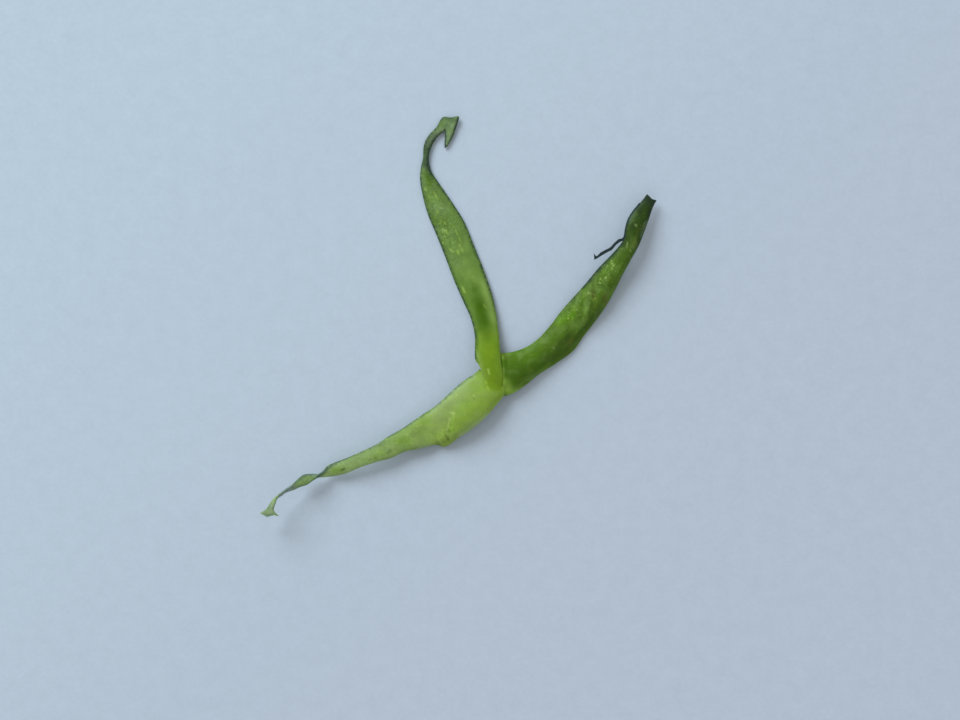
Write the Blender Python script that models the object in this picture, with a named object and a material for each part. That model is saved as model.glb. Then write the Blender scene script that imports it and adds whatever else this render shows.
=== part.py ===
"""A sword bogmat: a small floating water plant of three strap-shaped fronds that part from one pouch.

It lies on a flat surface, seen from above. Tables are in millimetres and the meshes in metres.
+X is right and +Y up in plan, +Z is up, and the origin is on the surface under the middle of the plant.
The plant covers 11 mm by 11 mm. Along its curve, the left daughter frond measures 7.7 mm from the mouth of
the pouch to the bend of its hook.
"""

import bpy
import numpy as np

# Driving dimensions, in millimetres
MILLIMETRE = 0.001
MOUTH_THICKNESS = 0.20
POUCH_THICKNESS = 0.34
POUCH_WALL = 0.04
TONGUE_THICKNESS = 0.10
BASE_THICKNESS = 0.15
BLADE_THICKNESS = 0.12
TIP_THICKNESS = 0.07
SLIVER_THICKNESS = 0.07
ARCH_CROWN = 0.22
GAP = 0.03

# How many stations of each daughter frond the pouch has to make room for
SEATED = 6

# Fineness of the lofts
STEPS_PER_STATION = 3
ACROSS = 8
EDGE_ROUNDNESS = 4

# A station is the left margin's x, y, z and the right margin's x, y, z, as seen from the base towards the tip
MOTHER_STATIONS = [
    # mouth of the pouch, at the fork
    (1.27, -1.90, 0.33, 0.59, -1.43, 0.44),
    (1.27, -2.12, 0.31, 0.42, -1.58, 0.39),
    (1.09, -2.36, 0.31, 0.21, -1.71, 0.36),
    (0.86, -2.64, 0.31, -0.04, -1.91, 0.33),
    (0.60, -2.90, 0.29, -0.30, -2.15, 0.31),
    (0.30, -3.13, 0.26, -0.56, -2.39, 0.29),
    # end of the pouch, whose corner all but touches the surface
    (0.00, -3.32, 0.22, -0.76, -2.54, 0.27),
    (-0.20, -3.48, 0.14, -0.94, -2.65, 0.25),
    (-0.39, -3.57, 0.08, -1.09, -2.76, 0.23),
    (-0.61, -3.52, 0.15, -1.27, -2.88, 0.25),
    # blade, which dips before it twists
    (-0.83, -3.56, 0.23, -1.47, -3.02, 0.29),
    (-1.11, -3.63, 0.26, -1.67, -3.14, 0.31),
    (-1.47, -3.70, 0.28, -1.95, -3.30, 0.33),
    (-1.85, -3.88, 0.30, -2.25, -3.50, 0.35),
    (-2.26, -3.99, 0.31, -2.65, -3.69, 0.36),
    (-2.70, -4.14, 0.28, -3.06, -3.87, 0.34),
    (-3.12, -4.31, 0.20, -3.40, -4.00, 0.29),
    (-3.47, -4.38, 0.15, -3.60, -4.10, 0.29),
    # first half twist: the right margin passes over the left
    (-3.67, -4.39, 0.16, -3.71, -4.25, 0.35),
    (-3.81, -4.37, 0.20, -3.83, -4.35, 0.43),
    (-3.97, -4.32, 0.27, -3.97, -4.47, 0.47),
    # underside up
    (-4.24, -4.33, 0.38, -4.13, -4.60, 0.46),
    (-4.41, -4.46, 0.46, -4.31, -4.66, 0.47),
    (-4.55, -4.60, 0.57, -4.50, -4.74, 0.48),
    # second half twist, on edge for a while
    (-4.75, -4.76, 0.70, -4.73, -4.80, 0.52),
    (-4.89, -4.87, 0.76, -4.87, -4.90, 0.56),
    (-4.97, -4.97, 0.79, -5.02, -4.97, 0.61),
    # torn, flared tip
    (-5.00, -5.11, 0.79, -5.13, -5.08, 0.66),
    (-5.04, -5.29, 0.78, -5.25, -5.25, 0.70),
    (-4.90, -5.46, 0.76, -5.43, -5.38, 0.70),
]
LEFT_STATIONS = [
    # tongue, inside the pouch
    (0.43, -1.90, 0.36, 0.82, -2.15, 0.35),
    (0.55, -1.72, 0.40, 1.11, -2.02, 0.35),
    (0.64, -1.51, 0.43, 1.23, -1.84, 0.385),
    # shoulder, at the mouth of the pouch
    (0.56, -1.32, 0.44, 1.225, -1.60, 0.405),
    (0.46, -1.16, 0.41, 1.19, -1.32, 0.39),
    (0.455, -0.92, 0.34, 1.15, -0.92, 0.35),
    (0.45, -0.50, 0.21, 1.11, -0.44, 0.24),
    (0.34, -0.03, 0.13, 1.04, 0.11, 0.16),
    (0.13, 0.44, 0.09, 0.91, 0.68, 0.11),
    # blade, which lies on the surface
    (-0.11, 0.99, 0.06, 0.69, 1.31, 0.08),
    (-0.35, 1.62, 0.05, 0.44, 1.94, 0.06),
    (-0.60, 2.25, 0.05, 0.17, 2.60, 0.06),
    (-0.83, 2.80, 0.04, -0.13, 3.09, 0.05),
    (-0.97, 3.30, 0.04, -0.45, 3.56, 0.06),
    # neck, drawn in
    (-1.05, 3.76, 0.05, -0.70, 3.93, 0.07),
    (-1.03, 4.09, 0.05, -0.79, 4.16, 0.08),
    (-0.97, 4.37, 0.06, -0.81, 4.38, 0.09),
    (-0.96, 4.62, 0.06, -0.77, 4.58, 0.09),
    # hook
    (-0.91, 4.83, 0.06, -0.69, 4.77, 0.08),
    (-0.79, 5.02, 0.06, -0.60, 4.91, 0.08),
    (-0.60, 5.22, 0.07, -0.48, 5.03, 0.08),
    (-0.50, 5.40, 0.07, -0.42, 5.07, 0.08),
    (-0.39, 5.50, 0.08, -0.39, 5.10, 0.08),
    (-0.20, 5.48, 0.09, -0.38, 5.12, 0.08),
    # sharp bend, past which the tip points back
    (0.02, 5.50, 0.12, -0.37, 5.11, 0.08),
    (-0.07, 5.18, 0.10, -0.366, 5.06, 0.08),
    (-0.15, 4.95, 0.08, -0.37, 4.92, 0.07),
    (-0.26, 4.75, 0.07, -0.38, 4.78, 0.07),
    (-0.355, 4.64, 0.06, -0.375, 4.64, 0.06),
]
RIGHT_STATIONS = [
    # base, set into the underside of the pouch and passing below the left daughter frond
    (0.80, -1.52, 0.17, 0.90, -2.12, 0.21),
    (0.92, -1.20, 0.18, 1.08, -2.15, 0.24),
    (1.08, -1.01, 0.18, 1.29, -2.17, 0.23),
    (1.37, -0.98, 0.21, 1.56, -2.07, 0.16),
    (1.64, -0.92, 0.21, 1.88, -1.85, 0.08),
    (1.94, -0.79, 0.20, 2.23, -1.57, 0.03),
    (2.25, -0.55, 0.18, 2.69, -1.28, 0.01),
    # blade, whose right margin touches the surface
    (2.55, -0.21, 0.16, 3.15, -0.94, 0.0),
    (2.85, 0.19, 0.17, 3.45, -0.53, 0.0),
    (3.18, 0.56, 0.22, 3.76, -0.13, 0.03),
    (3.51, 0.93, 0.27, 4.03, 0.25, 0.10),
    (3.83, 1.32, 0.31, 4.28, 0.68, 0.15),
    (4.12, 1.62, 0.35, 4.53, 1.18, 0.22),
    # step where the sliver has torn away
    (4.36, 1.88, 0.39, 4.75, 1.58, 0.26),
    (4.52, 2.11, 0.40, 4.94, 1.92, 0.28),
    (4.57, 2.42, 0.41, 5.09, 2.28, 0.29),
    # tip, which bends down
    (4.65, 2.69, 0.41, 5.22, 2.64, 0.27),
    (4.83, 2.97, 0.38, 5.31, 2.91, 0.23),
    (5.02, 3.16, 0.35, 5.38, 3.08, 0.19),
    (5.18, 3.37, 0.32, 5.45, 3.20, 0.15),
]
SLIVER_STATIONS = [
    # rolled up along the left margin of the tip
    (4.96, 3.13, 0.37, 5.01, 3.09, 0.36),
    (4.83, 2.95, 0.39, 4.89, 2.91, 0.38),
    (4.66, 2.69, 0.42, 4.73, 2.66, 0.40),
    (4.58, 2.43, 0.42, 4.65, 2.42, 0.41),
    (4.52, 2.18, 0.41, 4.59, 2.13, 0.40),
    # torn off
    (4.40, 2.13, 0.41, 4.45, 2.06, 0.41),
    (4.27, 2.02, 0.41, 4.32, 1.96, 0.41),
    (4.17, 1.91, 0.40, 4.22, 1.84, 0.40),
    (4.04, 1.84, 0.40, 4.09, 1.77, 0.39),
    (3.90, 1.76, 0.39, 3.95, 1.69, 0.38),
    (3.79, 1.67, 0.38, 3.81, 1.60, 0.37),
    (3.72, 1.75, 0.38, 3.73, 1.56, 0.37),
]

# Thickness and crown along a frond, as (station, millimetres)
MOTHER_THICKNESS = [(0, MOUTH_THICKNESS), (2, POUCH_THICKNESS), (5, 0.30), (7, 0.26), (9, 0.18),
                    (13, BLADE_THICKNESS), (29, TIP_THICKNESS)]
MOTHER_CROWN = [(0, 0.03), (2, 0.08), (5, 0.07), (9, 0.03), (16, 0.03), (18, 0.0), (29, 0.0)]
LEFT_THICKNESS = [(0, TONGUE_THICKNESS), (2, TONGUE_THICKNESS), (4, BASE_THICKNESS), (11, BLADE_THICKNESS),
                  (18, 0.09), (28, TIP_THICKNESS)]
LEFT_CROWN = [(0, 0.0), (3, 0.03), (7, 0.08), (12, 0.01), (14, 0.0), (28, 0.0)]
RIGHT_THICKNESS = [(0, 0.10), (3, 0.17), (10, 0.14), (19, TIP_THICKNESS)]
RIGHT_CROWN = [(0, 0.0), (1.5, 0.03), (2.2, 0.08), (3, 0.17), (4.5, 0.20), (6, 0.15), (8, 0.15),
               (10, ARCH_CROWN), (15, 0.12), (19, 0.05)]
EVEN_SLIVER = [(0, SLIVER_THICKNESS), (11, SLIVER_THICKNESS)]
FLAT = [(0, 0.0), (1, 0.0)]

# Where the crown's crest runs across the strap, from -1 at the right margin to 1 at the left one
MIDDLE = 0.0
RIGHT_CREST = -0.25

# Torn ends: how far the end is pulled back, as (place across, millimetres)
MOTHER_TEAR = [(-1, 0.0), (-0.6, -0.03), (-0.25, -0.08), (0.1, -0.03), (0.5, 0.01), (1, 0.0)]
RIGHT_TEAR = [(-1, 0.0), (0, 0.05), (1, 0.0)]

# The pouch's outer wall ends in a crease, which runs slantwise between these places (station, place across)
CREASE_START = (5.0, -0.16)
CREASE_END = (7.0, 0.92)

# Finish: colour, roughness
MOTHER_GREEN = (0.30, 0.42, 0.10), 0.45
LEFT_GREEN = (0.16, 0.30, 0.05), 0.45
RIGHT_GREEN = (0.07, 0.18, 0.03), 0.4


def clear_scene():
    for scene_object in list(bpy.data.objects):
        bpy.data.objects.remove(scene_object)


def new_collection(name):
    collection = bpy.data.collections.new(name)
    bpy.context.scene.collection.children.link(collection)
    return collection


def smooth_stations(stations):
    """A Catmull-Rom curve through the stations, with the same number of steps from each to the next."""
    rows = np.array(stations)
    padded = np.vstack([2 * rows[0] - rows[1], rows, 2 * rows[-1] - rows[-2]])
    t = np.linspace(0, 1, STEPS_PER_STATION, endpoint=False)[:, None]
    stretches = [
        0.5 * (2 * b + (c - a) * t + (2 * a - 5 * b + 4 * c - d) * t**2 + (3 * b - a - 3 * c + d) * t**3)
        for a, b, c, d in zip(padded, padded[1:], padded[2:], padded[3:])
    ]
    return np.vstack(stretches + [rows[-1:]])


def value_at(profile, place):
    places, values = zip(*profile)
    return np.interp(place, places, values)


def unit(vectors):
    return vectors / np.linalg.norm(vectors, axis=-1, keepdims=True)


def pouch_wall(station, u):
    """How far the pouch's outer wall stands up: its full height as far as the crease, then nothing."""
    (first, inner), (last, outer) = CREASE_START, CREASE_END
    crease = first + (last - first) * (u - inner) / (outer - inner)
    before_crease = np.clip(crease - station, 0, 1)
    outside_middle = np.clip((u - inner) / 0.3 + 0.5, 0, 1)
    return POUCH_WALL * before_crease * outside_middle * np.sqrt(1 - u**EDGE_ROUNDNESS)


def strap_surfaces(stations, thickness, crown, crest=MIDDLE, tear=FLAT, wall=None):
    """The upper and the lower surface of a strap, as grids of points from base to tip and right to left.

    Across the strap, u runs from -1 to 1. The middle layer is the chord between the margins, raised along
    the strap's normal by the crown, which falls off as a parabola on each side of its crest. The two
    surfaces stand half a thickness from it and meet at the margins. The lower one is pressed flat where
    it would pass through what the plant lies on.
    """
    rows = smooth_stations(stations)
    station = np.linspace(0, len(stations) - 1, len(rows))[:, None]
    left, right = rows[:, None, :3], rows[:, None, 3:]
    u = -np.cos(np.linspace(0, np.pi, ACROSS + 1))[None, :]
    forward = unit(np.gradient((left + right) / 2, axis=0))
    normal = unit(np.cross(forward, left - right))
    half = value_at(thickness, station) / 2 * np.sqrt(1 - u**EDGE_ROUNDNESS)
    rise = value_at(crown, station) * (1 - ((u - crest) / (np.where(u > crest, 1, -1) - crest)) ** 2)
    middle = (left + right) / 2 + (left - right) / 2 * u[..., None] + normal * rise[..., None]
    middle[-1] -= forward[-1] * value_at(tear, u[0])[:, None]
    outer = half if wall is None else half + wall(station, u)
    upper, lower = middle + normal * outer[..., None], middle - normal * half[..., None]
    lower[:, 1:-1, 2] = np.maximum(lower[:, 1:-1, 2], 0)
    return upper, lower


def strap_faces(sections):
    """Faces of a closed strap, whose sections run along the upper row, right to left, and back below."""
    ring = 2 * ACROSS
    faces = []
    for section in range(sections - 1):
        here, there = section * ring, (section + 1) * ring
        for k in range(ring):
            after = (k + 1) % ring
            faces.append((here + k, there + k, there + after, here + after))
    last = (sections - 1) * ring
    for k in range(ACROSS):
        corners = list(dict.fromkeys([k, k + 1, (ring - k - 1) % ring, (ring - k) % ring]))
        faces.append(tuple(corners))
        faces.append(tuple(last + c for c in reversed(corners)))
    return faces


def new_strap(name, collection, stations, thickness, crown, **shape):
    """A closed loft through the stations, as an object in the collection."""
    upper, lower = strap_surfaces(stations, thickness, crown, **shape)
    rings = np.concatenate([upper, lower[:, -2:0:-1]], axis=1)
    mesh = bpy.data.meshes.new(name)
    mesh.from_pydata((rings.reshape(-1, 3) * MILLIMETRE).tolist(), [], strap_faces(len(upper)))
    mesh.update()
    mesh.shade_smooth()
    strap = bpy.data.objects.new(name, mesh)
    collection.objects.link(strap)
    return strap


def new_seat(name, collection, stations, thickness, crown, **shape):
    """The base of a daughter frond with the gap added all round, as a body to cut away."""
    rows = np.array(stations[:SEATED])
    left, right = rows[:, :3], rows[:, 3:]
    outwards = unit(left - right) * GAP
    rows = np.hstack([left + outwards, right - outwards])
    rows[0] += np.tile(unit(left[0] - left[1]) * GAP, 2)
    with_gap = [(station, value + 2 * GAP) for station, value in thickness]
    return new_strap(name, collection, rows, with_gap, crown, **shape)


def combine(frond, other, operation):
    """Joins the other body to the frond or cuts it away, and keeps it as a hidden guide."""
    other.hide_render = True
    other.display_type = "WIRE"
    boolean = frond.modifiers.new(other.name, "BOOLEAN")
    boolean.operation = operation
    boolean.solver = "EXACT"
    boolean.object = other


def give_material(frond, finish):
    colour, roughness = finish
    material = bpy.data.materials.new(frond.name)
    material.use_nodes = True
    shader = material.node_tree.nodes["Principled BSDF"]
    shader.inputs["Base Color"].default_value = (*colour, 1.0)
    shader.inputs["Roughness"].default_value = roughness
    shader.inputs["Metallic"].default_value = 0.0
    frond.data.materials.append(material)


def mother_frond(plant, cutters):
    """The oldest frond: a thick pouch at the fork, a blade, two half twists and a torn tip."""
    frond = new_strap("mother_frond", plant, MOTHER_STATIONS, MOTHER_THICKNESS, MOTHER_CROWN,
                      tear=MOTHER_TEAR, wall=pouch_wall)
    left_seat = new_seat("left_seat", cutters, LEFT_STATIONS, LEFT_THICKNESS, LEFT_CROWN)
    right_seat = new_seat("right_seat", cutters, RIGHT_STATIONS, RIGHT_THICKNESS, RIGHT_CROWN,
                          crest=RIGHT_CREST)
    combine(frond, left_seat, "DIFFERENCE")
    combine(frond, right_seat, "DIFFERENCE")
    give_material(frond, MOTHER_GREEN)


def left_daughter_frond(plant):
    """The frond whose tongue sits in the pouch, with a drawn-in neck and a hooked tip."""
    frond = new_strap("left_daughter_frond", plant, LEFT_STATIONS, LEFT_THICKNESS, LEFT_CROWN)
    give_material(frond, LEFT_GREEN)


def right_daughter_frond(plant, cutters):
    """The arched frond that comes out from under the pouch, with the sliver torn from its margin."""
    frond = new_strap("right_daughter_frond", plant, RIGHT_STATIONS, RIGHT_THICKNESS, RIGHT_CROWN,
                      crest=RIGHT_CREST, tear=RIGHT_TEAR)
    sliver = new_strap("sliver", cutters, SLIVER_STATIONS, EVEN_SLIVER, FLAT)
    combine(frond, sliver, "UNION")
    give_material(frond, RIGHT_GREEN)


def main():
    clear_scene()
    plant = new_collection("bogmat")
    cutters = new_collection("cutters")
    mother_frond(plant, cutters)
    left_daughter_frond(plant)
    right_daughter_frond(plant, cutters)


main()
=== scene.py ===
"""Looks of a sword bogmat: three strap-shaped fronds that part from one pouch, lying on a pale surface.

Every frond is a loft worked out with numpy: its cross-section is carried through stations along the strap,
and its relief, its pigment and its painted light and shade are brush strokes laid on it in plan. Tables are
in millimetres, meshes in metres.
+X is right and +Y up in plan, and +Z is up, as in the solids that the fronds stand for.
"""

import math

import bpy
import numpy as np
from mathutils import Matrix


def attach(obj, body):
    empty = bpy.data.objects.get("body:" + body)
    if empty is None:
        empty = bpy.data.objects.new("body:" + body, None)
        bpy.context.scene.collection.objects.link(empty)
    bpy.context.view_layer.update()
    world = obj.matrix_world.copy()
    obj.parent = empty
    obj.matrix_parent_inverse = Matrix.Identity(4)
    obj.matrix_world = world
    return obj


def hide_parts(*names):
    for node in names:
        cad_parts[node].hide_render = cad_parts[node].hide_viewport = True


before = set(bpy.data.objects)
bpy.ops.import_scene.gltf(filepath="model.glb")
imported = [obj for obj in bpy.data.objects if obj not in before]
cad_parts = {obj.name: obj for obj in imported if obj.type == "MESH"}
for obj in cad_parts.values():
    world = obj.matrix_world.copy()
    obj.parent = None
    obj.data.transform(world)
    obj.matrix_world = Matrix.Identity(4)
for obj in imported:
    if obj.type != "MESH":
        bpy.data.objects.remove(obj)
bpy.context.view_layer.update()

MILLIMETRE = 0.001

# Light: the even fill, and a soft key KEY_DISTANCE metres away that spans KEY_SPREAD degrees from the plant
FILL = 0.54
FILL_COLOUR = (1.02, 1.0, 0.97, 1.0)
KEY_POWER = 2.2
KEY_COLOUR = (0.96, 1.0, 1.06)
KEY_DISTANCE = 0.5
KEY_SPREAD = 34
KEY_ELEVATION = 35
KEY_FROM = (-0.6, 0.8)

# Camera: straight above. The picture's width and middle are in millimetres, the clipping distances in metres
VIEW_WIDTH = 26.4
VIEW_CENTRE = (0.597, -1.185)
LENS = 200
SENSOR = 36
CLIP_START = 0.005
CLIP_END = 5.0

# Surface below: the radii of its rings in metres, where its painted light turns from lighter to dimmer in
# millimetres, and its faint mottle
SURFACE_RADII = (0.0005, 0.02, 0.1, 0.5)
SURFACE_SIDES = 64
SURFACE_TURN = (-18.0, 14.0)
SURFACE_CLOUDS_PER_MM = 2.4
SURFACE_SPECKS_PER_MM = 9.0
SURFACE_MOTTLE = 0.10

# Lofts: sections from each station to the next, faces across one side of a strap, the power that rounds its
# edges, the angle in degrees past which two faces meet sharply, and what counts as nothing
SECTIONS = 14
ACROSS = 48
EDGE_ROUNDNESS = 4
SHARP_ANGLE = 60
TINY = 1e-9

# Tissue: repeats of each pattern per millimetre, evenly or as (across the strap, along it, over its edge).
# An EDGE or a SHAPE says where a mask starts and where it ends, other pairs give the least and the most.
PATCHES_PER_MM = 3.2
PATCH_CONTRAST = 0.4
GRAIN_PER_MM = (26.0, 16.0, 1.0)
COARSENESS = (0.2, 0.95)
BLOTCHES_PER_MM = (3.6, 2.2, 1.0)
BLOTCH_EDGE = (0.46, 0.62)
BLOTCH_STRENGTH = 0.35
DASHES_PER_MM = 13.0
DASH_EDGE = (0.38, 0.58)
DASH_STRENGTH = (0.45, 1.0)
LUMPS_PER_MM = 5.5
LUMP_STRETCH = (1.0, 0.75, 1.0)
LUMP_SHAPE = (0.05, 0.65)
LUMP_SOFTNESS = 0.5
# lumps painted lighter in the middle and darker in the valleys: painted light and shade
LUMP_PAINTED_SHADING = 0.35
WANDER_PER_MM = 6.0
WANDER_MM = (0.30, 0.30, 0.0)
DOTS_PER_MM = 15.0
DOT_SHAPE = (0.1, 0.5)
DOT_SHARE = 0.34
CROWDS_PER_MM = 2.0
CROWD_EDGE = (0.40, 0.60)
CROWDING = (0.2, 1.4)
# the glints are painted highlights
GLINT_STRENGTH = (0.2, 0.9)
PIT_STRENGTH = 0.5
BUMP_STRENGTH = 0.7
BUMP_MM = 0.015
GRAIN_BUMP = 0.5
SHADE = (0.8, 1.2)
ROUGHNESS = (0.35, 0.6)

# A station is the left margin's x, y, z and the right margin's x, y, z, as seen from the base towards the tip
MOTHER_STATIONS = [
    # mouth of the pouch, at the fork
    (1.27, -1.90, 0.33, 0.59, -1.43, 0.44),
    (1.27, -2.12, 0.31, 0.42, -1.58, 0.39),
    (1.09, -2.36, 0.31, 0.21, -1.71, 0.36),
    (0.86, -2.64, 0.31, -0.04, -1.91, 0.33),
    (0.60, -2.90, 0.29, -0.30, -2.15, 0.31),
    (0.30, -3.13, 0.26, -0.56, -2.39, 0.29),
    # end of the pouch, whose corner all but touches the surface
    (0.00, -3.32, 0.22, -0.76, -2.54, 0.27),
    (-0.20, -3.48, 0.14, -0.94, -2.65, 0.25),
    (-0.39, -3.57, 0.08, -1.09, -2.76, 0.23),
    (-0.61, -3.52, 0.15, -1.27, -2.88, 0.25),
    # blade, which dips before it twists
    (-0.83, -3.56, 0.23, -1.47, -3.02, 0.29),
    (-1.11, -3.63, 0.26, -1.67, -3.14, 0.31),
    (-1.47, -3.70, 0.28, -1.95, -3.30, 0.33),
    (-1.85, -3.88, 0.30, -2.25, -3.50, 0.35),
    (-2.26, -3.99, 0.31, -2.65, -3.69, 0.36),
    (-2.70, -4.14, 0.28, -3.06, -3.87, 0.34),
    (-3.12, -4.31, 0.20, -3.40, -4.00, 0.29),
    (-3.47, -4.38, 0.15, -3.60, -4.10, 0.29),
    # first half twist: the right margin passes over the left
    (-3.67, -4.39, 0.16, -3.71, -4.25, 0.35),
    (-3.81, -4.37, 0.20, -3.83, -4.35, 0.43),
    (-3.97, -4.32, 0.27, -3.97, -4.47, 0.47),
    # underside up
    (-4.24, -4.33, 0.38, -4.13, -4.60, 0.46),
    (-4.41, -4.46, 0.46, -4.31, -4.66, 0.47),
    (-4.55, -4.60, 0.57, -4.50, -4.74, 0.48),
    # second half twist, on edge for a while
    (-4.75, -4.76, 0.70, -4.73, -4.80, 0.52),
    (-4.89, -4.87, 0.76, -4.87, -4.90, 0.56),
    (-4.97, -4.97, 0.79, -5.02, -4.97, 0.61),
    # torn, flared tip
    (-5.00, -5.11, 0.79, -5.13, -5.08, 0.66),
    (-5.04, -5.29, 0.78, -5.25, -5.25, 0.70),
    (-4.90, -5.46, 0.76, -5.43, -5.38, 0.70),
]
LEFT_STATIONS = [
    # tongue, inside the pouch
    (0.43, -1.90, 0.36, 0.82, -2.15, 0.35),
    (0.55, -1.72, 0.40, 1.11, -2.02, 0.35),
    (0.64, -1.51, 0.43, 1.23, -1.84, 0.385),
    # shoulder, at the mouth of the pouch
    (0.56, -1.32, 0.44, 1.225, -1.60, 0.405),
    (0.46, -1.16, 0.41, 1.19, -1.32, 0.39),
    (0.455, -0.92, 0.34, 1.15, -0.92, 0.35),
    (0.45, -0.50, 0.21, 1.11, -0.44, 0.24),
    (0.34, -0.03, 0.13, 1.04, 0.11, 0.16),
    (0.13, 0.44, 0.09, 0.91, 0.68, 0.11),
    # blade, which lies on the surface
    (-0.11, 0.99, 0.06, 0.69, 1.31, 0.08),
    (-0.35, 1.62, 0.05, 0.44, 1.94, 0.06),
    (-0.60, 2.25, 0.05, 0.17, 2.60, 0.06),
    (-0.83, 2.80, 0.04, -0.13, 3.09, 0.05),
    (-0.97, 3.30, 0.04, -0.45, 3.56, 0.06),
    # neck, drawn in
    (-1.05, 3.76, 0.05, -0.70, 3.93, 0.07),
    (-1.03, 4.09, 0.05, -0.79, 4.16, 0.08),
    (-0.97, 4.37, 0.06, -0.81, 4.38, 0.09),
    (-0.96, 4.62, 0.06, -0.77, 4.58, 0.09),
    # hook
    (-0.91, 4.83, 0.06, -0.69, 4.77, 0.08),
    (-0.79, 5.02, 0.06, -0.60, 4.91, 0.08),
    (-0.60, 5.22, 0.07, -0.48, 5.03, 0.08),
    (-0.50, 5.40, 0.07, -0.42, 5.07, 0.08),
    (-0.39, 5.50, 0.08, -0.39, 5.10, 0.08),
    (-0.20, 5.48, 0.09, -0.38, 5.12, 0.08),
    # sharp bend, past which the tip points back
    (0.02, 5.50, 0.12, -0.37, 5.11, 0.08),
    (-0.07, 5.18, 0.10, -0.366, 5.06, 0.08),
    (-0.15, 4.95, 0.08, -0.37, 4.92, 0.07),
    (-0.26, 4.75, 0.07, -0.38, 4.78, 0.07),
    (-0.355, 4.64, 0.06, -0.375, 4.64, 0.06),
]
RIGHT_STATIONS = [
    # base, set into the underside of the pouch and passing below the left daughter frond
    (0.80, -1.52, 0.17, 0.90, -2.12, 0.21),
    (0.92, -1.20, 0.18, 1.08, -2.15, 0.24),
    (1.08, -1.01, 0.18, 1.29, -2.17, 0.23),
    (1.37, -0.98, 0.21, 1.56, -2.07, 0.16),
    (1.64, -0.92, 0.21, 1.88, -1.85, 0.08),
    (1.94, -0.79, 0.20, 2.23, -1.57, 0.03),
    (2.25, -0.55, 0.18, 2.69, -1.28, 0.01),
    # blade, whose right margin touches the surface
    (2.55, -0.21, 0.16, 3.15, -0.94, 0.0),
    (2.85, 0.19, 0.17, 3.45, -0.53, 0.0),
    (3.18, 0.56, 0.22, 3.76, -0.13, 0.03),
    (3.51, 0.93, 0.27, 4.03, 0.25, 0.10),
    (3.83, 1.32, 0.31, 4.28, 0.68, 0.15),
    (4.12, 1.62, 0.35, 4.53, 1.18, 0.22),
    # step where the sliver has torn away
    (4.36, 1.88, 0.39, 4.75, 1.58, 0.26),
    (4.52, 2.11, 0.40, 4.94, 1.92, 0.28),
    (4.57, 2.42, 0.41, 5.09, 2.28, 0.29),
    # tip, which bends down
    (4.65, 2.69, 0.41, 5.22, 2.64, 0.27),
    (4.83, 2.97, 0.38, 5.31, 2.91, 0.23),
    (5.02, 3.16, 0.35, 5.38, 3.08, 0.19),
    (5.18, 3.37, 0.32, 5.45, 3.20, 0.15),
]
SLIVER_STATIONS = [
    # rolled up along the left margin of the tip
    (4.96, 3.13, 0.37, 5.01, 3.09, 0.36),
    (4.83, 2.95, 0.39, 4.89, 2.91, 0.38),
    (4.66, 2.69, 0.42, 4.73, 2.66, 0.40),
    (4.58, 2.43, 0.42, 4.65, 2.42, 0.41),
    (4.52, 2.18, 0.41, 4.59, 2.13, 0.40),
    # torn off
    (4.40, 2.13, 0.41, 4.45, 2.06, 0.41),
    (4.27, 2.02, 0.41, 4.32, 1.96, 0.41),
    (4.17, 1.91, 0.40, 4.22, 1.84, 0.40),
    (4.04, 1.84, 0.40, 4.09, 1.77, 0.39),
    (3.90, 1.76, 0.39, 3.95, 1.69, 0.38),
    (3.79, 1.67, 0.38, 3.81, 1.60, 0.37),
    (3.72, 1.75, 0.38, 3.73, 1.56, 0.37),
]

# Thickness and crown along a frond, as (station, millimetres)
MOTHER_THICKNESS = [(0, 0.02), (1, 0.13), (2, 0.22), (3.5, 0.32), (5, 0.30), (7, 0.26), (9, 0.18),
                    (13, 0.12), (28.5, 0.07), (29, 0.03)]
MOTHER_CROWN = [(0, 0.03), (1, 0.06), (2, 0.09), (5, 0.07), (9, 0.03), (16, 0.03), (18, 0.0), (29, 0.0)]
LEFT_THICKNESS = [(0, 0.10), (2, 0.10), (4, 0.15), (11, 0.12), (18, 0.09), (27.5, 0.07), (28, 0.03)]
LEFT_CROWN = [(0, 0.0), (3, 0.03), (7, 0.08), (12, 0.01), (14, 0.0), (28, 0.0)]
RIGHT_THICKNESS = [(0, 0.10), (3, 0.17), (10, 0.14), (18.5, 0.07), (19, 0.03)]
RIGHT_CROWN = [(0, 0.0), (1.5, 0.03), (2.2, 0.08), (3, 0.17), (4.5, 0.20), (6, 0.15), (8, 0.15),
               (10, 0.22), (15, 0.12), (19, 0.05)]
SLIVER_THICKNESS = [(0, 0.02), (0.5, 0.07), (10.5, 0.07), (11, 0.02)]
FLAT = [(0, 0.0), (1, 0.0)]

# Where the crown's crest runs across the strap, from -1 at the right margin to 1 at the left one
MIDDLE = 0.0
RIGHT_CREST = -0.25

# Torn ends: how far the end is pulled back, as (place across, millimetres)
MOTHER_TEAR = [(-1, 0.0), (-0.6, -0.03), (-0.25, -0.08), (0.1, -0.03), (0.5, 0.01), (1, 0.0)]
RIGHT_TEAR = [(-1, 0.0), (0, 0.05), (1, 0.0)]

# The pouch's outer wall ends in a crease, which runs slantwise between these places (station, place across).
# Before the crease the wall rises over CREASE_RISE of a station. Towards the right margin it fades out over
# a stretch of WALL_FADE, and the crease's inner end is in the middle of that stretch.
CREASE_START = (5.0, -0.16)
CREASE_END = (7.0, 0.92)
POUCH_WALL = 0.04
CREASE_RISE = 0.5
WALL_FADE = 1.1


def srgb(red, green, blue):
    """A colour on the 0 to 255 scale of a screen, as linear light."""
    c = np.array([red, green, blue]) / 255
    return tuple(np.where(c <= 0.04045, c / 12.92, ((c + 0.055) / 1.055) ** 2.4))
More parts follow.
